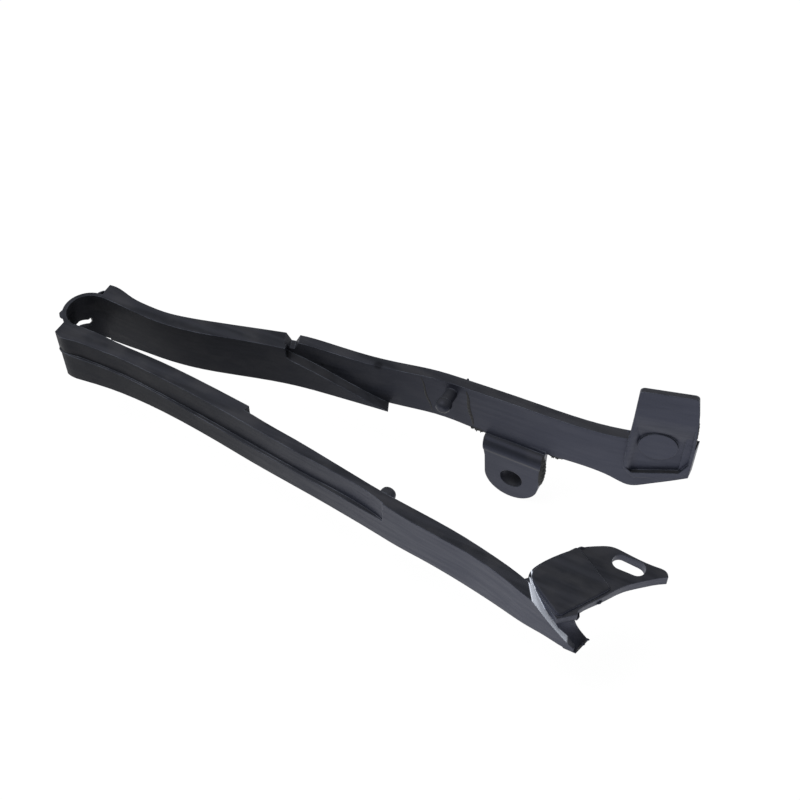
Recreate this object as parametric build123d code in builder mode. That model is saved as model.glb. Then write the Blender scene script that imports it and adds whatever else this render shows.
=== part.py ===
from build123d import *

import os
from math import cos, hypot, radians, sin

# Chain slider: one moulding in tough black plastic, millimetres.
# It is a strap bent into a narrow U that hugs the nose of a swingarm, and it stands on edge.
# +X runs from the loop towards the open ends, midway between the two arms, and +Z is across the
# strap's width. The far arm is on the +Y side and the near arm on the -Y side. The origin is the
# centre of the loop, halfway across the strap's width.

# Loop
loop_radius = 14.3
loop_wall = 2.8
loop_top = 17.3
loop_foot = -23.5

# Window through the loop's front: its middle, and its ragged outline along and across the wall
window_turn_deg = 155.0
window_outline = [(7.9, -9.4), (7.6, -3.6), (2.9, -2.7), (0.4, -3.4), (-3.6, -5.1), (-5.9, -3.5),
                  (-6.2, -9.9), (-4.6, -11.2), (2.0, -9.3)]

# Strap
far_wall = 7.2
band_depth = 8.0
far_reach = 60.0
edge_run = 10.0
edge_start = -40.0
near_lip_start = -7.6
near_lip_step = 2.5
far_lip_start = -0.8
far_end = 398.6

# Slanted ledge that ends the thick front stretch of each arm
near_band_end = (138.5, -21.4)
near_band_turn_deg = -14.0
far_band_end = (134.0, 30.5)
far_band_turn_deg = 20.0
ledge_top = 6.4
ledge_shoulder = 2.8
ledge_shoulder_drop = 2.4
ledge_slant = 2.8

# Recess in the upper part of the near arm's outer face
recess_reach = 9.0

# Notch across the far arm's rim, just behind the thick stretch
notch_start = 127.6
notch_floor_level = 10.6
notch_floor_length = 3.0
notch_ramp = 3.4
notch_depth = 10.0

# Barbed pins on the inner faces
pin_shaft_radius = 4.2
pin_head_radius = 5.2
pin_head_length = 7.2
pin_head_cone = 1.0
pin_head_band = 1.4
pin_tip_radius = 1.6
pin_root = 3.5
near_pin_reach = 14.3
near_pin_x = 240.6
near_pin_z = -2.0
far_pin_reach = 15.5
far_pin_x = 243.5
far_pin_z = 8.0

# Lug below the far arm
lug_x = 291.4
lug_z = -48.2
lug_radius = 19.0
lug_flare = 4.4
lug_hole_radius = 7.8
lug_thickness = 11.6
lug_front = 47.2
lug_roll_radius = 7.4
lug_roll_overhang = 0.6
lug_roll_step = 2.5
lug_shelf_level = -19.5
lug_sink = 3.0

# Tab at the end of the far arm: how far its hinge edge is from the arm's end and inside the arm's
# outer face, and its outline in its own plane, along it and up
tab_setback = 39.2
tab_standoff = 11.84
tab_turn_deg = 14.0
tab_outline = [(1.4, 68.0), (35.4, 69.0), (38.2, 53.0), (40.0, 32.0), (40.8, 18.0), (40.8, 3.0),
               (36.6, -6.0), (8.4, -13.5), (0.9, -5.8)]
tab_corner_radius = 3.0
tab_plate = 3.4
tab_pocket_depth = 3.0
tab_bead = 1.6
tab_ledge = 4.4
tab_ramp_start = 0.9
tab_ramp = 8.0
tab_joggle_low = 20.0
tab_joggle_high = 46.0
tab_boss_radius = 11.9
tab_boss_along = 19.0
tab_boss_level = 19.0
tab_boss_height = 1.8
# Web behind the tab's open end: its profile as height and depth, and where it starts along the tab
gusset_profile = [(50.0, -2.0), (41.0, -8.0), (33.0, -12.2), (-18.0, -12.2), (-6.0, -5.0), (0.0, -2.0)]
gusset_start = 34.2
gusset_reach = 6.0

# Flange, pad and slot at the end of the near arm
flange_top = 10.4
flange_thickness = 5.0
flange_end_thickness = 7.0
flange_deepens = (378.0, 396.0)
pad_height = 2.0
pad_length = 36.4
pad_width = 33.0
pad_setback = 11.3
pad_inset = 23.9
pad_turn_deg = 56.5
pad_corner_radius = 3.0
pad_left_radius = 9.0
pad_edge_radius = 1.2
slot_setback = 22.8
slot_inset = 2.4
slot_length = 19.8
slot_width = 10.1

# Outer faces of the strap, as seen along Z
near_outer = [(near_lip_start, -26.2), (0.2, -28.8), (8, -28.7), (30, -27.5), (60, -28.0), (100, -31.7),
              (138, -36.2), (214, -45.4), (245, -49.6), (272, -53.8), (306, -57.4), (330, -62.6),
              (352, -69.2), (380, -72.2)]
far_outer = [(far_lip_start, 26.6), (6, 26.8), (20, 23.4), (32, 22.2), (47, 22.3), (61, 24.6), (81, 29.8),
             (104, 36.4), (125, 42.5), (138, 45.7), (165, 48.6), (192, 51.4), (208, 54.4), (228, 58.4),
             (250, 60.1), (296, 61.3), (345, 64.0), (far_end, 78.3), (far_end + edge_run, 80.8)]
# Inner face of the near arm behind its thick front stretch, which grows thinner towards the tip
near_inner = [(near_lip_start, -20.0), (60, -20.8), (120, -24.4), (142, -26.2), (154, -28.1),
              (177, -31.1), (200, -34.7), (223, -38.5), (243, -41.6), (255, -42.9), (276, -45.0),
              (296, -47.4), (317, -51.2), (339, -56.6), (352, -61.0), (380, -65.0)]
# Inner faces of the thick front stretches
near_band_face = [(0, -loop_radius), (5, -loop_radius), (18, -14.2), (33, -15.2), (65, -15.9), (97, -17.7),
                  (136, -21.3), (175, -25.4), (220, -30.6)]
far_band_face = [(0, loop_radius), (5, loop_radius), (44, 12.4), (74, 15.9), (102, 23.0), (135, 30.6),
                 (175, 35.4), (216, 40.2)]
# Face above the ledge of the near arm's recess, from the lip's bevel back, and the ledge's height
recess_face = [(near_lip_start - edge_run, -22.1), (near_lip_start, -25.6), (-0.1, -28.2), (6, -27.3),
               (20, -26.4), (36, -25.9), (68, -27.1), (100, -29.6), (138, -33.8), (190, -40.2),
               (214, -42.6), (232, -45.2), (247, -49.0)]
recess_ledge = [(edge_start, 0.5), (80, 0.5), (110, -0.8), (140, -1.5), (270, -1.5)]
# Long edges of the strap, as seen along Y
near_top_edge = [(edge_start, loop_top), (110, 17.3), (160, 16.6), (245, 16.0), (290, 15.2),
                 (326, 14.3), (390, 13.0)]
near_low_edge = [(edge_start, -20.2), (6, -19.8), (24, -18.3), (47, -17.2), (85, -16.2), (122, -16.7),
                 (145, -17.8), (192, -17.8), (240, -18.7), (256, -18.6), (274, -17.3), (309, -19.4),
                 (338, -16.9), (350, -14.4), (361, -12.2), (372, -13.6), (390, -16.5)]
# Oblique face where the near arm's end is cut back: a point on it, and its outward direction
near_cut_point = (352.5, -70.0, 13.4)
near_cut_facing = (0.635, 0.397, 0.663)
# Corner under the flange that carries the oblique face on to the pad's side, as seen along Z
corner_low = -12.0
corner_outline = [(338.0, -60.0), (343.6, -54.2), (350.5, -57.8), (358.6, -62.2), (366.4, -66.6),
                  (372.0, -68.5), (372.0, -70.0), (345.0, -65.5)]
far_top_edge = [(edge_start, loop_top), (90, 17.3), (150, 16.8), (250, 16.8), (315, 18.4),
                (far_end, 18.4)]
far_low_edge = [(edge_start, -23.5), (5, -24.6), (16, -23.4), (28, -21.3), (68, -19.1), (108, -18.9),
                (142, -18.0), (175, -17.4), (200, -17.2), (222, -18.0), (245, -18.2), (266, -19.8),
                (305, -19.2), (342, -17.8), (354, -21.4), (366, -26.2), (376, -22.4), (389, -16.0),
                (far_end, -10.6)]
# Flange, as seen along Z: its far edge from the pad's left corner, and its hollow near edge
flange_far_edge = [(343.0, -55.0), (342.0, -49.5), (344.6, -42.4), (350.6, -33.4), (356.6, -26.2),
                   (363.0, -20.2), (370.0, -15.8), (377.5, -12.6), (386.0, -12.9), (395.0, -13.8),
                   (404.0, -14.0), (411.0, -14.4), (413.4, -17.6)]
flange_near_edge = [(413.4, -17.6), (407.0, -21.9), (400.7, -27.2), (394.4, -33.0), (389.0, -40.3),
                    (384.0, -48.2), (378.4, -56.0), (375.9, -60.6)]
flange_root = [(375.9, -60.6), (376.6, -63.5), (367.2, -71.4), (343.0, -55.0)]
# Tongue from the flange down to the strap's tip: at three levels, its open edge and its hidden edge
tongue_levels = [9.5, -4.0, -16.0]
tongue_sections = [[(362.8, -67.8), (376.6, -63.5), (371.0, -57.5), (358.0, -62.0)],
                   [(369.8, -69.2), (375.8, -60.4), (366.0, -60.4), (362.0, -66.0)],
                   [(381.6, -71.8), (385.0, -60.3), (374.0, -60.3), (374.0, -71.8)]]


def beside(points, distance):
    """The path moved sideways, to the left of its run where the distance is positive."""
    moved = []
    for index, (x, y) in enumerate(points):
        x0, y0 = points[max(index - 1, 0)]
        x1, y1 = points[min(index + 1, len(points) - 1)]
        run = hypot(x1 - x0, y1 - y0)
        moved.append((x - (y1 - y0) / run * distance, y + (x1 - x0) / run * distance))
    return moved


def height_at(points, x):
    """The path's second coordinate at one X, on straight lines between its points."""
    for (x0, y0), (x1, y1) in zip(points, points[1:]):
        if x0 <= x <= x1:
            return y0 + (y1 - y0) * (x - x0) / (x1 - x0)
    return points[-1][1]


def between(first, second, plane, depth):
    """A slab whose outline is two curved paths, joined by straight ends, on one plane."""
    with BuildPart() as slab:
        with BuildSketch(plane):
            with BuildLine():
                Spline(*first)
                Spline(*second)
                Line(first[0], second[0])
                Line(first[-1], second[-1])
            make_face()
        extrude(amount=depth)
    return slab.part


def upright(first, second, low=-far_reach, high=far_reach):
    """A slab between two paths seen along Z."""
    return between(first, second, Plane.XY.offset(low), high - low)


def side_limits(top_edge, low_edge):
    """The space between the strap's long edges, seen along Y."""
    return between(top_edge, low_edge, Plane.XZ.offset(-2 * far_reach), 4 * far_reach)


def ledge_limits(band_end, turn_deg):
    """The space of a thick front stretch: it ends upright at the rim, then slants to the low edge."""
    foot = ledge_shoulder + ledge_slant * (ledge_top + far_reach)
    along = (cos(radians(turn_deg)), sin(radians(turn_deg)), 0)
    across = (sin(radians(turn_deg)), -cos(radians(turn_deg)), 0)
    with BuildPart() as limits:
        with BuildSketch(Plane(origin=(*band_end, 0), x_dir=along, z_dir=across)):
            Polygon((-4 * far_reach, far_reach), (-4 * far_reach, -far_reach), (foot, -far_reach),
                    (ledge_shoulder, ledge_top), (0, ledge_top + ledge_shoulder_drop), (0, far_reach),
                    align=None)
        extrude(amount=far_reach, both=True)
    return limits.part


def barbed_pin(plane, pin_reach):
    """A pin that grows along the plane's Y, with a ball head that snaps into a hole."""
    shoulder = pin_reach - pin_head_length
    ball = shoulder + pin_head_cone + pin_head_band
    with BuildPart() as pin:
        with BuildSketch(plane):
            with BuildLine():
                Polyline((0, -pin_root), (pin_shaft_radius, -pin_root), (pin_shaft_radius, shoulder),
                         (pin_head_radius, shoulder + pin_head_cone), (pin_head_radius, ball))
                Spline((pin_head_radius, ball), (pin_tip_radius, pin_reach), tangents=((0, 1), (-1, 0)))
                Polyline((pin_tip_radius, pin_reach), (0, pin_reach), (0, -pin_root))
            make_face()
        revolve(axis=Axis(plane.origin, plane.y_dir))
    return pin.part


# Loop: a plain half ring, thinner than the arms that it joins
with BuildPart() as loop:
    with BuildSketch(Plane.XY.offset(loop_foot)):
        Circle(loop_radius + loop_wall)
        with Locations((loop_radius + loop_wall, 0)):
            Rectangle(2 * (loop_radius + loop_wall), 3 * (loop_radius + loop_wall), mode=Mode.SUBTRACT)
        Circle(loop_radius, mode=Mode.SUBTRACT)
    extrude(amount=loop_top - loop_foot)

# Window through the loop's front
window_facing = Plane(origin=(0, 0, 0),
                      x_dir=(-sin(radians(window_turn_deg)), cos(radians(window_turn_deg)), 0),
                      z_dir=(cos(radians(window_turn_deg)), sin(radians(window_turn_deg)), 0))
with BuildPart() as window:
    with BuildSketch(window_facing):
        Polygon(*window_outline, align=None)
    extrude(amount=loop_radius + 3 * loop_wall)

# Near arm: a wall, thickened inwards along its front stretch
with BuildPart() as near_band:
    add(upright(near_band_face, beside(near_band_face, -band_depth)))
    add(ledge_limits(near_band_end, near_band_turn_deg), mode=Mode.INTERSECT)

with BuildPart() as recess:
    add(upright(recess_face, beside(recess_face, -recess_reach)))
    add(side_limits([(x, far_reach) for x, z in recess_ledge], recess_ledge), mode=Mode.INTERSECT)

with BuildPart() as near_arm:
    add(upright(near_outer, near_inner))
    add(near_band.part)
    with BuildSketch(Plane.XY.offset(-far_reach)):
        Polygon((near_lip_start, -loop_radius - loop_wall / 2), (0, -loop_radius - loop_wall / 2),
                (0, near_inner[0][1] - loop_wall), (near_lip_start, near_inner[0][1] - loop_wall),
                align=None)
    extrude(amount=2 * far_reach)
    add(side_limits(near_top_edge, near_low_edge), mode=Mode.INTERSECT)
    add(recess.part, mode=Mode.SUBTRACT)
    with BuildSketch(Plane.XZ.offset(loop_radius + loop_wall)):
        Polygon((near_lip_start - edge_run, -far_reach), (near_lip_start + near_lip_step, -far_reach),
                (near_lip_start + near_lip_step, recess_ledge[0][1]),
                (near_lip_start - edge_run, recess_ledge[0][1]), align=None)
    extrude(amount=far_reach, mode=Mode.SUBTRACT)
    with BuildSketch(Plane.XY.offset(corner_low)):
        Polygon(*corner_outline, align=None)
    extrude(amount=flange_top + pad_height - corner_low)
    split(bisect_by=Plane(origin=near_cut_point, z_dir=near_cut_facing), keep=Keep.BOTTOM)

# Far arm: the same build, with a notch across its rim
with BuildPart() as far_band:
    add(upright(far_band_face, beside(far_band_face, band_depth)))
    add(ledge_limits(far_band_end, far_band_turn_deg), mode=Mode.INTERSECT)

with BuildPart() as far_arm:
    add(upright(far_outer, beside(far_outer, -far_wall)))
    add(far_band.part)
    add(side_limits(far_top_edge, far_low_edge), mode=Mode.INTERSECT)
    with BuildSketch(Plane(origin=(notch_start, height_at(far_outer, notch_start), 0),
                           x_dir=(cos(radians(far_band_turn_deg)), sin(radians(far_band_turn_deg)), 0),
                           z_dir=(sin(radians(far_band_turn_deg)), -cos(radians(far_band_turn_deg)), 0))):
        Polygon((0, loop_top), (notch_ramp, notch_floor_level),
                (notch_ramp + notch_floor_length, notch_floor_level),
                (2 * notch_ramp + notch_floor_length, loop_top), align=None)
    extrude(amount=notch_depth, both=True, mode=Mode.SUBTRACT)

# Pins
near_pin = barbed_pin(Plane(origin=(near_pin_x, height_at(near_inner, near_pin_x), near_pin_z),
                            x_dir=(1, 0, 0), z_dir=(0, 0, 1)), near_pin_reach)
far_pin = barbed_pin(Plane(origin=(far_pin_x, height_at(far_outer, far_pin_x) - far_wall, far_pin_z),
                           x_dir=(1, 0, 0), z_dir=(0, 0, -1)), far_pin_reach)

# Lug: an upright plate with a round foot, under a rounded roll that stands a little proud of it
lug_roll_front = lug_front - lug_roll_overhang
lug_roll_back = lug_roll_front + lug_roll_radius
lug_roll_low = lug_shelf_level - lug_roll_radius
lug_depth = lug_thickness + lug_roll_overhang
with BuildPart() as lug:
    with BuildSketch(Plane.XZ.offset(-lug_roll_front)):
        with Locations((lug_x, lug_z)):
            Circle(lug_radius)
            Polygon((-lug_radius - lug_flare, lug_shelf_level + lug_sink - lug_z),
                    (-lug_radius - lug_flare / 5, (lug_shelf_level - lug_z) / 2), (-lug_radius, 0),
                    (lug_radius, 0), (lug_radius, lug_shelf_level + lug_sink - lug_z), align=None)
    extrude(amount=-lug_depth)
    with BuildSketch(Plane.YZ.offset(lug_x - 2 * lug_radius)):
        with BuildLine():
            Polyline((lug_roll_front, lug_roll_low), (lug_front, lug_roll_low - lug_roll_step),
                     (lug_front, lug_z - 2 * lug_radius),
                     (lug_front + 2 * lug_thickness, lug_z - 2 * lug_radius),
                     (lug_front + 2 * lug_thickness, lug_shelf_level + lug_sink),
                     (lug_roll_back, lug_shelf_level + lug_sink), (lug_roll_back, lug_shelf_level))
            RadiusArc((lug_roll_back, lug_shelf_level), (lug_roll_front, lug_roll_low), -lug_roll_radius)
        make_face()
    extrude(amount=4 * lug_radius, mode=Mode.INTERSECT)
    with BuildSketch(Plane.XZ.offset(-lug_roll_front)):
        with Locations((lug_x, lug_z)):
            Circle(lug_hole_radius)
    extrude(amount=-lug_depth, mode=Mode.SUBTRACT)

# Tab: a joggled plate with a raised rim, a shallow pocket and a round boss
tab_x = far_end - tab_setback
tab_y = height_at(far_outer, tab_x) - tab_standoff
tab_along = (cos(radians(tab_turn_deg)), sin(radians(tab_turn_deg)), 0)
tab_inwards = (sin(radians(tab_turn_deg)), -cos(radians(tab_turn_deg)), 0)
tab_face = Plane(origin=(tab_x, tab_y, 0), x_dir=tab_along, z_dir=tab_inwards)
tab_section = Plane(origin=(tab_x, tab_y, 0), x_dir=(0, 0, 1), z_dir=tab_along)
tab_plan = Plane(origin=(tab_x, tab_y, 0), x_dir=tab_along, z_dir=(0, 0, 1))
tab_depth = tab_pocket_depth + tab_plate

with BuildPart() as tab_pocket:
    with BuildSketch(tab_face):
        with Locations((-tab_bead, tab_ledge)):
            Polygon(*tab_outline, align=None)
    extrude(amount=-tab_pocket_depth)
    with BuildSketch(tab_section):
        with BuildLine():
            Spline((tab_joggle_low, -tab_pocket_depth), (tab_joggle_high, 0), tangents=((1, 0), (1, 0)))
            Polyline((tab_joggle_high, 0), (tab_joggle_high, 1), (-far_reach, 1),
                     (-far_reach, -tab_pocket_depth), (tab_joggle_low, -tab_pocket_depth))
        make_face()
    extrude(amount=far_reach, mode=Mode.INTERSECT)
    with BuildSketch(tab_plan.offset(-far_reach)):
        with BuildLine():
            Spline((tab_ramp_start, 0), (tab_ramp_start + tab_ramp, tab_pocket_depth),
                   tangents=((1, 0), (1, 0)))
            Polyline((tab_ramp_start + tab_ramp, tab_pocket_depth), (far_reach, tab_pocket_depth),
                     (far_reach, -1), (tab_ramp_start, -1), (tab_ramp_start, 0))
        make_face()
    extrude(amount=2 * far_reach, mode=Mode.INTERSECT)

with BuildPart() as gusset:
    with BuildSketch(tab_section.offset(gusset_start)):
        Polygon(*gusset_profile, align=None)
    extrude(amount=gusset_reach)
    with BuildSketch(tab_face):
        Polygon(*tab_outline, align=None)
    extrude(amount=-far_reach, mode=Mode.INTERSECT)

with BuildPart() as tab:
    with BuildSketch(tab_face) as tab_front:
        Polygon(*tab_outline, align=None)
        fillet(tab_front.vertices(), tab_corner_radius)
    extrude(amount=-tab_depth)
    with BuildSketch(tab_section):
        with BuildLine():
            Spline((tab_joggle_low, -tab_depth), (tab_joggle_high, -tab_plate), tangents=((1, 0), (1, 0)))
            Polyline((tab_joggle_high, -tab_plate), (2 * far_reach, -tab_plate),
                     (2 * far_reach, -2 * tab_depth), (tab_joggle_low, -2 * tab_depth),
                     (tab_joggle_low, -tab_depth))
        make_face()
    extrude(amount=far_reach, mode=Mode.SUBTRACT)
    add(tab_pocket.part, mode=Mode.SUBTRACT)
    with BuildSketch(tab_face.offset(-tab_depth + tab_plate / 2)):
        with Locations((tab_boss_along, tab_boss_level)):
            Circle(tab_boss_radius)
    extrude(amount=tab_plate / 2 + tab_boss_height)
    add(gusset.part)

# Flange: a level plate with a hollow near edge, a pad by the arm's cut end and a slot by its tip
pad_x = near_cut_point[0] + pad_setback
pad_y = near_cut_point[1] + pad_inset
slot_x = flange_near_edge[0][0] - slot_setback
slot_y = flange_near_edge[0][1] - slot_inset
with BuildPart() as flange:
    with BuildSketch(Plane.XY.offset(flange_top - flange_end_thickness)):
        with BuildLine():
            Spline(*flange_far_edge)
            Spline(*flange_near_edge)
            Polyline(*flange_root)
        make_face()
    extrude(amount=flange_end_thickness)
    with BuildSketch(Plane.XZ.offset(-far_reach)):
        Polygon((pad_x - far_reach, flange_top - flange_thickness),
                (flange_deepens[0], flange_top - flange_thickness),
                (flange_deepens[1], flange_top - flange_end_thickness), (flange_deepens[1], -far_reach),
                (pad_x - far_reach, -far_reach), align=None)
    extrude(amount=3 * far_reach, mode=Mode.SUBTRACT)
    with BuildSketch(Plane.XY.offset(flange_top)) as pad:
        with Locations((pad_x, pad_y)):
            Rectangle(pad_length, pad_width, rotation=pad_turn_deg)
        fillet(pad.vertices().sort_by(Axis.X)[1:], pad_corner_radius)
        fillet(pad.vertices().sort_by(Axis.X)[0], pad_left_radius)
    extrude(amount=pad_height)
    fillet(flange.edges().group_by(Axis.Z)[-1], pad_edge_radius)
    with BuildSketch(Plane.XY.offset(flange_top - flange_end_thickness)):
        with Locations((slot_x, slot_y)):
            SlotOverall(slot_length, slot_width)
    extrude(amount=flange_end_thickness, mode=Mode.SUBTRACT)

# Tongue between the flange and the strap's tip: a smooth twisted web
with BuildPart() as tongue:
    for level, section in zip(tongue_levels, tongue_sections):
        with BuildSketch(Plane.XY.offset(level)):
            Polygon(*section, align=None)
    loft()

# Whole moulding
with BuildPart() as chain_slider:
    add(loop.part)
    add(near_arm.part)
    add(far_arm.part)
    add(near_pin)
    add(far_pin)
    add(lug.part)
    add(tab.part)
    add(tongue.part)
    add(flange.part)
    add(window.part, mode=Mode.SUBTRACT)

os.makedirs("parts", exist_ok=True)
chain_slider.part.label = "chain_slider"
export_step(chain_slider.part, "parts/chain_slider.step")
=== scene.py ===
import math

import bpy
import numpy as np
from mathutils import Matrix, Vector
from mathutils.bvhtree import BVHTree


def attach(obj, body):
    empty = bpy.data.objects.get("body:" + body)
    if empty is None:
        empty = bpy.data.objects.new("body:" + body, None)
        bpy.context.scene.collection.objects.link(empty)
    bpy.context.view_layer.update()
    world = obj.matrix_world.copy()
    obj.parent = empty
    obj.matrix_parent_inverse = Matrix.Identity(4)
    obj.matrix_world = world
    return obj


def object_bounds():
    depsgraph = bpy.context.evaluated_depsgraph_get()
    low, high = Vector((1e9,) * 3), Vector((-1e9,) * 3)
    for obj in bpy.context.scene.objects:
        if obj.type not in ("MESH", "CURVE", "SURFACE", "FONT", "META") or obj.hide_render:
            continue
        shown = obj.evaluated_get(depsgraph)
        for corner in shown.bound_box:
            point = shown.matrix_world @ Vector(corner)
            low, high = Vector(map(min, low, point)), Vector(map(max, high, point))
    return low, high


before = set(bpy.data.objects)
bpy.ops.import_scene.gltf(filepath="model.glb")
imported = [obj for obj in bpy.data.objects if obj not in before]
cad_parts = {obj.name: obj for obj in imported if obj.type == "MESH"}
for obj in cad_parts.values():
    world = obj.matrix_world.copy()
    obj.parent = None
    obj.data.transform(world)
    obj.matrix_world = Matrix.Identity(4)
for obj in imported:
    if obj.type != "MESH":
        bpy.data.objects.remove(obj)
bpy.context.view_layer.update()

MM = 0.001
NODE = "chain_slider"


# Lengths and places are in mm and angles in degrees, where nothing else is said.

# Camera: where the photograph was taken from, how far it tilts and turns, and its lens
CAMERA_AT = (455.0, -435.0, 633.0)
CAMERA_TILT = 40.0
CAMERA_TURN = 27.0
SENSOR_WIDTH = 36.0
LENS = 57.69

# Light: the sky's colour and strength, and each square lamp's place, width and watts
SKY_COLOUR = "#eceef2"
SKY_STRENGTH = 0.38
LAMPS = {
    "top_lamp": ((-300.0, -300.0, 1500.0), 900.0, 36.0),
    "back_screen": ((500.0, 1700.0, 420.0), 1300.0, 22.0),
}
LAMP_AIM = (200.0, 0.0, 0.0)

# Ground: its gap below the lug's foot, how far it reaches, and its paper. The camera and
# reflections see a white glow of this strength in place of this share of the paper.
GROUND_GAP = 0.6
GROUND_REACH = 30000.0
PAPER = "#9c9c9c"
GLOW_STRENGTH = 1.08
GLOW_SHARE = 0.9

# Moulded elastomer: length, width and height of its flow marks, cloudy patches and grain, and how
# finely each breaks up. The real grain is about 0.1, too fine to show, and is drawn this coarse.
FLOW_SIZE, FLOW_DETAIL = (70.0, 5.0, 3.0), 4.0
CLOUD_SIZE, CLOUD_DETAIL = (22.0, 14.0, 14.0), 3.0
GRAIN_SIZE, GRAIN_DETAIL = (0.5, 0.5, 0.5), 2.0
# Values of the patterns, from 0 to 1, where each begins to show and is full
FLOW_SPAN = (0.3, 0.7)
CLOUD_SPAN = (0.42, 0.66)
# Radius that its edges look rounded by, and how well that is sampled
EDGE_SOFTNESS = 0.8
EDGE_SAMPLES = 6
# Pale edges, partly wear and partly a painted highlight: cosine of the edge's turn where the
# paling begins and is full; values of the cloudy patches between which it goes from its least to
# its greatest share
PALE_EDGE_TURN = (0.995, 0.8)
PALE_EDGE_CLOUDS = (0.38, 0.62)
PALE_EDGE_SHARES = (0.15, 0.75)
# Its colours, in the order in which they lie over each other, and the tint of its sheen
FLOW_COLOURS = ("#1c1d20", "#25262a")
CLOUD_COLOUR = "#2f2f31"
# Bluish painted reflection lightening the upright faces towards the open ends
PAINTED_SHEEN_COLOUR = "#262b3c"
# Pale edges: partly wear, partly a painted highlight
WEAR_AND_HIGHLIGHT_COLOUR = "#5a5e68"
MARK_COLOUR = "#08080a"
# Pale cut face: partly its own tone, partly a painted reflection
CUT_FACE_AND_REFLECTION_COLOUR = "#c3c8d2"
SHEEN_COLOUR = "#d2d8ff"
# How much of a layer shows where it is full
CLOUD_SHARE = 0.5
PAINTED_SHEEN_SHARE = 0.45
MARK_SHARE = 0.55
# Painted sheen begins and is full at these values of X less this share of Y
SHEEN_FROM, SHEEN_TO = 60.0, 400.0
SHEEN_LEAN = 0.4
# Shine, as a specular level, where there is no painted sheen and where it is full
SHINE = (0.06, 0.66)
# Roughness at the smooth and the coarse flow marks, and what the cut face adds
ROUGHNESS = (0.36, 0.5)
CUT_ROUGHNESS = 0.2
# Strength and depth of the relief
FLOW_RELIEF = (0.4, 0.2)
GRAIN_RELIEF = (0.6, 0.05)
# Dark marks in the surface: middle, and the radii where each is full and gone
DARK_MARKS = [
    ((194.4, 45.6, 16.8), 1.6, 4.2),
    ((155.2, 40.3, 1.9), 0.7, 1.5),
]
# Cut face at the near arm's end, whose pale colour is partly its own and partly a painted
# reflection: a point on it, the way it faces, the depths below it where its colour is full and
# gone, and its radii
CUT_POINT = (352.5, -70.0, 13.4)
CUT_FACING = (0.635, 0.397, 0.663)
CUT_DEPTHS = (0.1, 0.5)
CUT_RADII = (30.0, 32.0)

# Dark flash: size and detail of its patches, their colours, and its roughness
FLASH_PATCH, FLASH_DETAIL = (2.0, 2.0, 2.0), 2.0
FLASH_COLOURS = ("#050506", "#141519")
FLASH_ROUGHNESS = 0.6

# Index of refraction of the elastomer
IOR = 1.5

# Flash is built of rings: their sides, the steps between them and the fewest of these, and how
# deep their root goes into the moulding
RING_SIDES = 10
RING_STEP = 0.35
FEWEST_STEPS = 6
ROOT_DEPTH = 0.7
# Share of the rounded taper that is cut off at each tip, so that no ring closes to a point
TIP_CUT = 0.03
# Waves along a ragged crest: share of its height, radians per mm, and start
CREST_WAVES = [(0.22, 1.9, 0.0), (0.16, 4.7, 1.3), (0.12, 11.3, 0.0)]
# Flash more ragged than this is torn and dark; the rest has the moulding's own finish
TORN = 0.4

# Witness lines down the far arm's inner face: top and foot as X and Z, width and height
WITNESS_LINES = [
    ((222.7, 14.9), (230.8, -15.8), 1.4, 0.4),
    ((253.5, 13.9), (259.6, -16.9), 2.4, 0.6),
]
# How they are drawn: points on each, how far they bend to either side, how ragged they are,
# and the way that the inner face looks
WITNESS_POINTS = 9
WITNESS_BEND = 0.5
WITNESS_RAGGED = 0.4
INNER_FACING = (0.17, -0.98, 0.0)

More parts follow.
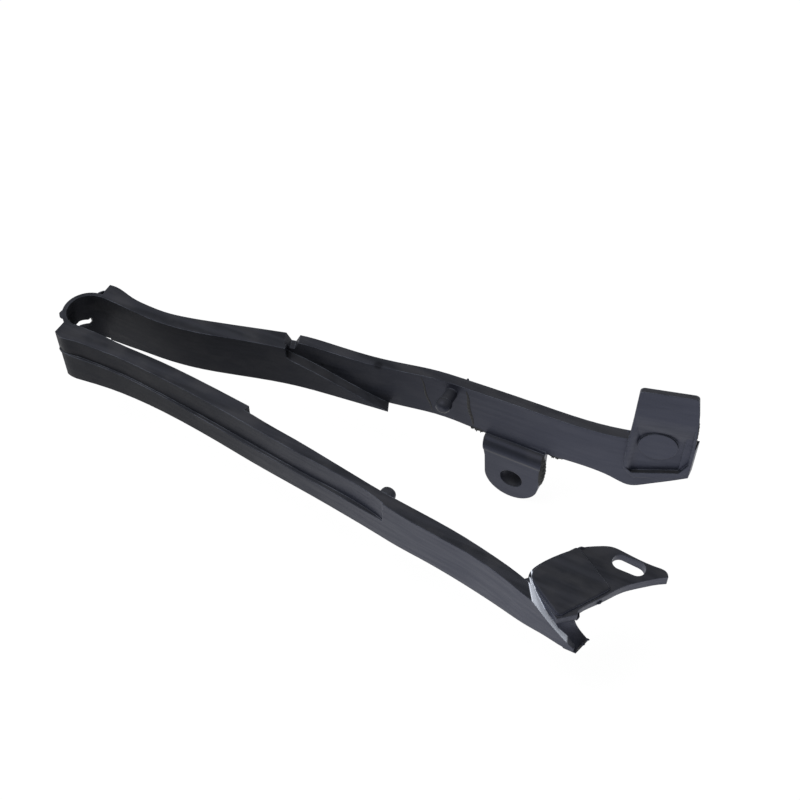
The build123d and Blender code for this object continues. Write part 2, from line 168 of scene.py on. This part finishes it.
# Flash, the thin fins and lumps that leaked from the mould's joints: name, path, outward direction,
# height at both ends, thickness, and how ragged it is
FLASH = [
    ("loop_bump",
     [(-16.2, -6.0, 15.6), (-14.6, -9.2, 15.8), (-12.2, -12.2, 15.6)],
     (-0.76, -0.65, 0.0), (2.4, 2.0), 3.0, 0.3),
    ("lip_web",
     [(-5.2, 16.4, 14.6), (-3.0, 18.6, 14.8), (-1.2, 22.4, 14.6)],
     (-0.85, 0.5, 0.0), (1.6, 1.2), 4.6, 0.2),
    ("far_rim_spike",
     [(250.2, 60.2, 16.4), (251.8, 60.5, 16.4)],
     (0.0, 0.5, 0.87), (1.5, 1.2), 0.9, 0.2),
    ("far_low_fin",
     [(256.5, 53.6, -18.4), (262.0, 53.8, -18.8), (268.4, 53.8, -19.0)],
     (0.0, -0.5, -0.87), (3.0, 2.6), 1.6, 0.8),
    ("lug_left_fin",
     [(269.0, 53.0, -19.6), (269.3, 49.6, -21.2), (270.2, 48.2, -25.0), (271.2, 48.2, -30.0)],
     (-1.0, 0.0, 0.2), (1.2, 0.8), 1.2, 1.0),
    ("lug_right_fin",
     [(310.1, 51.2, -19.2), (310.1, 50.6, -23.0), (310.1, 50.4, -30.0), (310.1, 50.4, -47.5)],
     (1.0, 0.0, 0.0), (3.4, 3.6), 7.6, 0.42),
    ("far_low_fin_behind_lug",
     [(312.6, 55.2, -18.8), (317.0, 55.4, -18.8), (322.0, 55.8, -18.6)],
     (0.0, -0.5, -0.87), (2.8, 1.6), 1.8, 0.8),
    ("tab_left_spike",
     [(358.4, 59.0, 25.6), (358.7, 59.2, 27.2)],
     (-1.0, -0.1, 0.0), (1.6, 1.2), 0.9, 0.2),
    ("tab_left_fin",
     [(360.6, 59.5, 40.0), (360.7, 59.5, 46.0), (360.8, 59.6, 52.0)],
     (-1.0, 0.0, 0.0), (0.7, 0.7), 0.9, 0.8),
    ("tab_right_fin",
     [(395.4, 70.6, 47.0), (396.4, 71.4, 40.0), (397.0, 72.2, 30.0), (397.6, 72.8, 18.0)],
     (1.0, 0.25, 0.0), (0.7, 0.7), 2.6, 0.8),
    ("tab_low_fin",
     [(364.6, 63.6, -25.0), (369.0, 64.4, -23.6), (374.0, 66.0, -21.4)],
     (0.0, -0.5, -0.87), (2.4, 1.4), 1.8, 0.8),
    ("tongue_upper_spike",
     [(384.0, -61.6, -12.6), (384.3, -62.8, -13.4)],
     (0.97, 0.2, 0.1), (2.2, 2.0), 1.1, 0.2),
    ("tongue_lower_spike",
     [(383.2, -64.6, -13.4), (383.2, -66.2, -14.2)],
     (0.97, 0.1, -0.1), (1.8, 1.6), 1.3, 0.3),
    ("tongue_fin",
     [(384.2, -61.4, -14.8), (382.8, -66.0, -15.0), (381.6, -70.4, -15.4)],
     (0.95, -0.3, 0.0), (0.9, 0.7), 1.1, 1.0),
    ("flange_near_bump",
     [(382.9, -49.6, 6.4), (384.0, -47.9, 6.4), (385.0, -46.3, 6.4)],
     (0.8, -0.6, -0.1), (1.5, 1.1), 2.6, 0.3),
    ("flange_root_bump",
     [(376.2, -59.6, 6.6), (376.8, -61.8, 5.4), (376.4, -63.0, 3.6)],
     (0.9, 0.4, 0.0), (0.9, 0.7), 2.4, 0.3),
    ("pad_corner_bump",
     [(360.2, -22.9, 10.9), (362.0, -21.6, 10.9), (363.6, -20.7, 10.8)],
     (-0.5, 0.85, 0.1), (0.9, 0.8), 1.6, 0.2),
    ("near_rim_nick_front",
     [(174.4, -33.4, 15.9), (176.2, -33.5, 15.9)],
     (0.0, 0.6, 0.8), (0.6, 0.5), 1.4, 0.2),
    ("near_rim_nick_middle",
     [(187.2, -35.0, 15.8), (189.0, -35.2, 15.8)],
     (0.0, 0.6, 0.8), (0.6, 0.5), 1.4, 0.2),
    ("near_rim_nick_rear",
     [(271.4, -52.6, 15.0), (273.4, -52.8, 15.0)],
     (0.0, -0.7, 0.7), (0.7, 0.5), 1.4, 0.2),
]


def to_linear(text):
    """Linear RGBA of an sRGB hex colour."""
    srgb = np.array([int(text[i:i + 2], 16) for i in (1, 3, 5)]) / 255.0
    linear = np.where(srgb <= 0.04045, srgb / 12.92, ((srgb + 0.055) / 1.055) ** 2.4)
    return (*linear.tolist(), 1.0)


def add_node(tree, kind, inputs=None, **settings):
    """A shader node with its settings. An input is a number, a vector or a hex colour, or a socket
    to link; a node given for an input is linked by its first output."""
    node = tree.nodes.new("ShaderNode" + kind)
    for name, value in settings.items():
        setattr(node, name, value)
    for name, value in (inputs or {}).items():
        if isinstance(value, bpy.types.Node):
            value = value.outputs[0]
        if isinstance(value, bpy.types.NodeSocket):
            tree.links.new(value, node.inputs[name])
        else:
            node.inputs[name].default_value = to_linear(value) if isinstance(value, str) else value
    return node


def new_material(name):
    """An empty material and its node tree."""
    material = bpy.data.materials.new(name)
    material.use_nodes = True
    material.node_tree.nodes.clear()
    return material, material.node_tree


def place_in_mm(tree):
    """The place on the object, in mm."""
    place = add_node(tree, "TexCoord").outputs["Object"]
    return add_node(tree, "VectorMath", {0: place, "Scale": 1.0 / MM}, operation="SCALE")


def patches(tree, point, size, detail):
    """Random patches, from 0 to 1, whose length, width and height are the size."""
    shrunk = add_node(tree, "VectorMath", {0: point, 1: [1.0 / v for v in size]},
                      operation="MULTIPLY")
    return add_node(tree, "TexNoise", {"Vector": shrunk, "Scale": 1.0, "Detail": detail})


def round_patch(tree, point, middle, full, gone, share=1.0):
    """The share inside a ball with the full radius, fading to nothing at the other radius."""
    gap = add_node(tree, "VectorMath", {0: point, 1: middle}, operation="DISTANCE")
    return add_node(tree, "MapRange",
                    {"Value": gap.outputs["Value"], "From Min": full, "From Max": gone,
                     "To Min": share, "To Max": 0.0}, interpolation_type="SMOOTHSTEP")


def edge_wear_and_highlight(tree, soft, cloud):
    """How pale the edges are, partly from wear and partly as a painted highlight: full where the
    softened normal leaves the face's own, and more in some cloudy patches than in others."""
    flat = add_node(tree, "NewGeometry").outputs["Normal"]
    turned = add_node(tree, "VectorMath", {0: soft, 1: flat}, operation="DOT_PRODUCT")
    edge = add_node(tree, "MapRange",
                    {"Value": turned.outputs["Value"], "From Min": PALE_EDGE_TURN[0],
                     "From Max": PALE_EDGE_TURN[1]}, interpolation_type="SMOOTHSTEP")
    patchy = add_node(tree, "MapRange",
                      {"Value": cloud, "From Min": PALE_EDGE_CLOUDS[0], "From Max": PALE_EDGE_CLOUDS[1],
                       "To Min": PALE_EDGE_SHARES[0], "To Max": PALE_EDGE_SHARES[1]},
                      interpolation_type="SMOOTHSTEP")
    return add_node(tree, "Math", {0: edge, 1: patchy}, operation="MULTIPLY")


def rubbed_faces(tree, point, soft):
    """Where the bluish painted reflection and the extra shine lie: upright faces, growing from the
    front towards the open ends.
    """
    axes = add_node(tree, "SeparateXYZ", {0: point}).outputs
    along = add_node(tree, "Math", {0: axes["Y"], 1: -SHEEN_LEAN, 2: axes["X"]},
                     operation="MULTIPLY_ADD")
    reached = add_node(tree, "MapRange",
                       {"Value": along, "From Min": SHEEN_FROM, "From Max": SHEEN_TO},
                       interpolation_type="SMOOTHSTEP")
    level = add_node(tree, "SeparateXYZ", {0: soft}).outputs["Z"]
    level = add_node(tree, "Math", {0: level}, operation="ABSOLUTE")
    upright = add_node(tree, "Math", {0: 1.0, 1: level}, operation="SUBTRACT")
    return add_node(tree, "Math", {0: reached, 1: upright}, operation="MULTIPLY")


def cut_face(tree, point):
    """One on the cut face, and nothing a little below it and beyond its edges."""
    away = add_node(tree, "VectorMath", {0: point, 1: CUT_POINT}, operation="SUBTRACT")
    away = add_node(tree, "VectorMath", {0: away, 1: CUT_FACING}, operation="DOT_PRODUCT")
    depth = add_node(tree, "Math", {0: away.outputs["Value"]}, operation="ABSOLUTE")
    shallow = add_node(tree, "MapRange",
                       {"Value": depth, "From Min": CUT_DEPTHS[0], "From Max": CUT_DEPTHS[1],
                        "To Min": 1.0, "To Max": 0.0}, interpolation_type="SMOOTHSTEP")
    near = round_patch(tree, point, CUT_POINT, *CUT_RADII)
    return add_node(tree, "Math", {0: shallow, 1: near}, operation="MULTIPLY")


def moulded_elastomer():
    """Satin black moulded elastomer, tough and slightly rubbery: blue-black, with long flow marks
    from filling the mould, dull in front and shinier on the upright faces towards the open ends,
    where a bluish painted reflection lightens them, edges paler partly from wear and partly as a
    painted highlight, two dark marks and a paler cut face whose tone is partly a painted
    reflection.
    The eye gets soft broad highlights, fine grain and thin grey lines along the edges."""
    material, tree = new_material("moulded_elastomer")
    point = place_in_mm(tree)
    soft = add_node(tree, "Bevel", {"Radius": EDGE_SOFTNESS * MM}, samples=EDGE_SAMPLES)
    flow = patches(tree, point, FLOW_SIZE, FLOW_DETAIL)
    cloud = patches(tree, point, CLOUD_SIZE, CLOUD_DETAIL)
    grain = patches(tree, point, GRAIN_SIZE, GRAIN_DETAIL)
    # Pale edges, partly wear and partly a painted highlight
    wear_and_highlight = edge_wear_and_highlight(tree, soft, cloud)
    rubbed = rubbed_faces(tree, point, soft)
    cut = cut_face(tree, point)
    marks = [round_patch(tree, point, *mark, MARK_SHARE) for mark in DARK_MARKS]

    flow_share = add_node(tree, "MapRange",
                          {"Value": flow, "From Min": FLOW_SPAN[0], "From Max": FLOW_SPAN[1]},
                          interpolation_type="SMOOTHSTEP")
    cloud_share = add_node(tree, "MapRange",
                           {"Value": cloud, "From Min": CLOUD_SPAN[0], "From Max": CLOUD_SPAN[1],
                            "To Max": CLOUD_SHARE}, interpolation_type="SMOOTHSTEP")
    # Bluish painted reflection on the upright faces towards the open ends
    rubbed_share = add_node(tree, "Math", {0: rubbed, 1: PAINTED_SHEEN_SHARE}, operation="MULTIPLY")
    layers = [(flow_share, FLOW_COLOURS[1]), (cloud_share, CLOUD_COLOUR),
              (rubbed_share, PAINTED_SHEEN_COLOUR), (wear_and_highlight, WEAR_AND_HIGHLIGHT_COLOUR)]
    layers += [(mark, MARK_COLOUR) for mark in marks]
    # Pale cut face, partly its own tone and partly a painted reflection
    layers.append((cut, CUT_FACE_AND_REFLECTION_COLOUR))
    colour = FLOW_COLOURS[0]
    for share, over in layers:
        colour = add_node(tree, "Mix", {0: share, 6: colour, 7: over}, data_type="RGBA").outputs[2]

    shine = add_node(tree, "MapRange", {"Value": rubbed, "To Min": SHINE[0], "To Max": SHINE[1]},
                     interpolation_type="SMOOTHSTEP")
    for mark in marks:
        bare = add_node(tree, "Math", {0: 1.0, 1: mark}, operation="SUBTRACT")
        shine = add_node(tree, "Math", {0: shine, 1: bare}, operation="MULTIPLY")
    rough = add_node(tree, "MapRange",
                     {"Value": flow_share, "To Min": ROUGHNESS[0], "To Max": ROUGHNESS[1]})
    rough = add_node(tree, "Math", {0: cut, 1: CUT_ROUGHNESS, 2: rough}, operation="MULTIPLY_ADD")
    surface = soft
    for height, (strength, depth) in ((flow, FLOW_RELIEF), (grain, GRAIN_RELIEF)):
        surface = add_node(tree, "Bump", {"Height": height, "Normal": surface,
                                          "Strength": strength, "Distance": depth * MM})
    shader = add_node(tree, "BsdfPrincipled",
                      {"Base Color": colour, "Roughness": rough, "Specular IOR Level": shine,
                       "Normal": surface, "IOR": IOR, "Specular Tint": SHEEN_COLOUR})
    add_node(tree, "OutputMaterial", {"Surface": shader})
    return material


def dark_flash():
    """Torn flash of the same elastomer, rough where it tore, in a mottled near-black; on the
    witness lines that near-black is partly painted shade that the raised lines cast. The eye gets
    thin ragged edges, a little darker and duller than the moulding."""
    material, tree = new_material("dark_flash")
    flash_mottle = patches(tree, place_in_mm(tree), FLASH_PATCH, FLASH_DETAIL)
    colour = add_node(tree, "Mix", {0: flash_mottle, 6: FLASH_COLOURS[0], 7: FLASH_COLOURS[1]},
                      data_type="RGBA").outputs[2]
    shader = add_node(tree, "BsdfPrincipled",
                      {"Base Color": colour, "Roughness": FLASH_ROUGHNESS, "IOR": IOR})
    add_node(tree, "OutputMaterial", {"Surface": shader})
    return material


def pale_ground():
    """Matt white paper. The eye gets plain white, in reflections too, and a soft shadow on it."""
    material, tree = new_material("pale_ground")
    path = add_node(tree, "LightPath").outputs
    seen = path["Is Camera Ray"]
    for ray in ("Is Glossy Ray", "Is Transmission Ray"):
        seen = add_node(tree, "Math", {0: seen, 1: path[ray]}, operation="MAXIMUM")
    share = add_node(tree, "Math", {0: seen, 1: GLOW_SHARE}, operation="MULTIPLY")
    paper = add_node(tree, "BsdfDiffuse", {"Color": PAPER})
    glow = add_node(tree, "Emission", {"Color": "#ffffff", "Strength": GLOW_STRENGTH})
    mixed = add_node(tree, "MixShader", {0: share, 1: paper, 2: glow})
    add_node(tree, "OutputMaterial", {"Surface": mixed})
    return material


def resample(path, step):
    """Points evenly spaced along straight lines between the path's points, and their distances."""
    path = np.array(path, dtype=float)
    lengths = np.linalg.norm(np.diff(path, axis=0), axis=1)
    reach = np.concatenate([[0.0], np.cumsum(lengths)])
    along = np.linspace(0.0, reach[-1], max(int(reach[-1] / step), FEWEST_STEPS) + 1)
    return np.stack([np.interp(along, reach, path[:, axis]) for axis in range(3)], axis=1), along


def make_flash(name, path, out, heights, thickness, ragged, material):
    """A closed bead or fin of flash. Rings of an ellipse follow the path, half as wide as the
    thickness. The crest's height runs from the first value to the second, loses the ragged share
    times one half plus three sine waves of the distance, and tapers at both tips by the square
    root of a half sine. The root goes ROOT_DEPTH into the moulding. Flat caps close the ends."""
    spine, along = resample(path, RING_STEP)
    out = np.array(out) / np.linalg.norm(out)
    side = np.cross(np.gradient(spine, axis=0), out)
    side /= np.linalg.norm(side, axis=1)[:, None]
    share = along / along[-1]
    taper = np.sqrt(np.sin(np.pi * (TIP_CUT + (1.0 - 2.0 * TIP_CUT) * share)))
    waves = 0.5 + sum(part * np.sin(pace * along + start) for part, pace, start in CREST_WAVES)
    crest = np.interp(share, (0.0, 1.0), heights) * (1.0 - ragged * waves) * taper

    turn = np.linspace(0.0, 2.0 * np.pi, RING_SIDES, endpoint=False)
    rise = np.sin(turn) * np.where(np.sin(turn) > 0.0, crest[:, None], ROOT_DEPTH)
    width = np.cos(turn) * thickness / 2.0 * taper[:, None]
    rings = spine[:, None] + side[:, None] * width[..., None] + out * rise[..., None]

    # Walls between neighbouring rings, and the caps, wound so that they face outwards
    corner = np.arange(RING_SIDES)
    first = np.arange(len(spine) - 1)[:, None] * RING_SIDES
    here, beside = first + corner, first + (corner + 1) % RING_SIDES
    walls = np.stack([here, here + RING_SIDES, beside + RING_SIDES, beside], axis=-1)
    last = (len(spine) - 1) * RING_SIDES
    caps = [corner.tolist(), (last + corner[::-1]).tolist()]
    mesh = bpy.data.meshes.new(name)
    mesh.from_pydata((rings.reshape(-1, 3) * MM).tolist(), [], walls.reshape(-1, 4).tolist() + caps)
    mesh.materials.append(material)
    piece = bpy.data.objects.new(name, mesh)
    bpy.context.collection.objects.link(piece)
    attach(piece, "root")


def make_witness_lines(material):
    """Thin raised lines down the far arm's inner face. Each runs straight from top to foot, with
    one and a half sine waves of WITNESS_BEND along X, and rays along +Y find the face below it."""
    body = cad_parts[NODE]
    skin = BVHTree.FromPolygons([body.matrix_world @ vertex.co for vertex in body.data.vertices],
                                [tuple(face.vertices) for face in body.data.polygons])
    share = np.linspace(0.0, 1.0, WITNESS_POINTS)
    bend = WITNESS_BEND * np.sin(3.0 * np.pi * share)
    for number, (top, foot, width, height) in enumerate(WITNESS_LINES, start=1):
        x = top[0] + (foot[0] - top[0]) * share + bend
        z = top[1] + (foot[1] - top[1]) * share
        starts = np.stack([x, np.zeros_like(x), z], axis=1) * MM
        path = [skin.ray_cast(Vector(start), Vector((0.0, 1.0, 0.0)))[0] for start in starts]
        make_flash(f"witness_line_{number}", np.array(path) / MM, INNER_FACING, (height, height),
                   width, WITNESS_RAGGED, material)


def make_ground():
    """A flat square far wider than the view, just under the lug's foot."""
    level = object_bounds()[0][2] - GROUND_GAP * MM
    reach = GROUND_REACH * MM
    corners = [(-reach, -reach, level), (reach, -reach, level),
               (reach, reach, level), (-reach, reach, level)]
    mesh = bpy.data.meshes.new("ground")
    mesh.from_pydata(corners, [], [(0, 1, 2, 3)])
    mesh.materials.append(pale_ground())
    ground = bpy.data.objects.new("ground", mesh)
    bpy.context.collection.objects.link(ground)


def make_camera():
    """The photograph's camera."""
    camera = bpy.data.objects.new("camera", bpy.data.cameras.new("camera"))
    camera.data.sensor_width = SENSOR_WIDTH
    camera.data.lens = LENS
    camera.location = [v * MM for v in CAMERA_AT]
    camera.rotation_euler = (math.radians(CAMERA_TILT), 0.0, math.radians(CAMERA_TURN))
    bpy.context.collection.objects.link(camera)
    bpy.context.scene.camera = camera


def make_light():
    """Soft light from above and from all around, and a low bright screen behind the object."""
    world = bpy.data.worlds.new("studio")
    bpy.context.scene.world = world
    world.use_nodes = True
    sky = world.node_tree.nodes["Background"]
    sky.inputs["Color"].default_value = to_linear(SKY_COLOUR)
    sky.inputs["Strength"].default_value = SKY_STRENGTH
    for name, (place, width, watts) in LAMPS.items():
        lamp = bpy.data.lights.new(name, "AREA")
        lamp.size = width * MM
        lamp.energy = watts
        holder = bpy.data.objects.new(name, lamp)
        holder.location = [v * MM for v in place]
        x, y, z = np.array(LAMP_AIM) - np.array(place)
        holder.rotation_euler = (math.atan2(math.hypot(x, y), -z), 0.0, math.atan2(-x, y))
        bpy.context.collection.objects.link(holder)


bpy.context.scene.view_settings.view_transform = "Standard"
body_finish = moulded_elastomer()
flash_finish = dark_flash()
body_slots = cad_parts[NODE].data.materials
body_slots.clear()
body_slots.append(body_finish)
for name, path, out, heights, thickness, ragged in FLASH:
    finish = flash_finish if ragged > TORN else body_finish
    make_flash(name, path, out, heights, thickness, ragged, finish)
# The witness lines' near-black finish is partly painted shade that the raised lines cast
make_witness_lines(flash_finish)
make_ground()
make_camera()
make_light()
